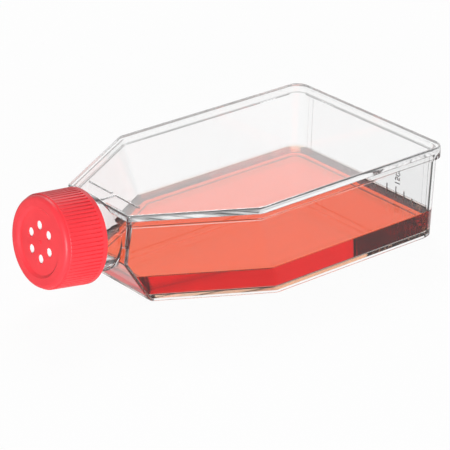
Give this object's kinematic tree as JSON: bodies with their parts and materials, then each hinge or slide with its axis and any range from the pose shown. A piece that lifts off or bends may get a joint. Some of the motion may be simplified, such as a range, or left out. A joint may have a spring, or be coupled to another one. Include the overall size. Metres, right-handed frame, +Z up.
{
  "type": "cell culture flask",
  "caption": "Clear canted-neck tissue culture flask lying on its wide face, with a vented red screw cap and a shallow fill of red culture medium.",
  "frame": {"origin": "on the surface it stands on, below the middle of the bounding box", "axes": "+X from the neck towards the base end, +Y across the flask, +Z up towards the top plate"},
  "size_m": [0.1542, 0.082, 0.0435],
  "materials": {
    "clear_tray": "clear moulded polystyrene, polished",
    "clear_lid": "clear moulded polystyrene, polished",
    "medium": "clear red liquid",
    "red_cap": "satin moulded polyethylene",
    "membrane": "matt hydrophobic membrane"
  },
  "bodies": {
    "flask": {"flask_body": "clear_tray", "top_plate": "clear_lid", "culture_medium": "medium"},
    "vent": {"vent_membrane": "membrane"},
    "cap": {"cap_shell": "red_cap"}
  },
  "joints": [
    {"name": "cap_lift", "type": "slide", "parent": "flask", "child": "vent", "axis": [-0.9903, 0, 0.1392], "range_m": [0, 0.018]},
    {"name": "cap_turn", "type": "hinge", "parent": "vent", "child": "cap", "pos_m": [-0.0499, 0, 0.0238], "axis": [-0.9903, 0, 0.1392], "range_deg": [0, 720]}
  ],
  "couplings": [
    {"joint": "cap_lift", "follows": "cap_turn", "m_per_rad": 0.0014324}
  ]
}
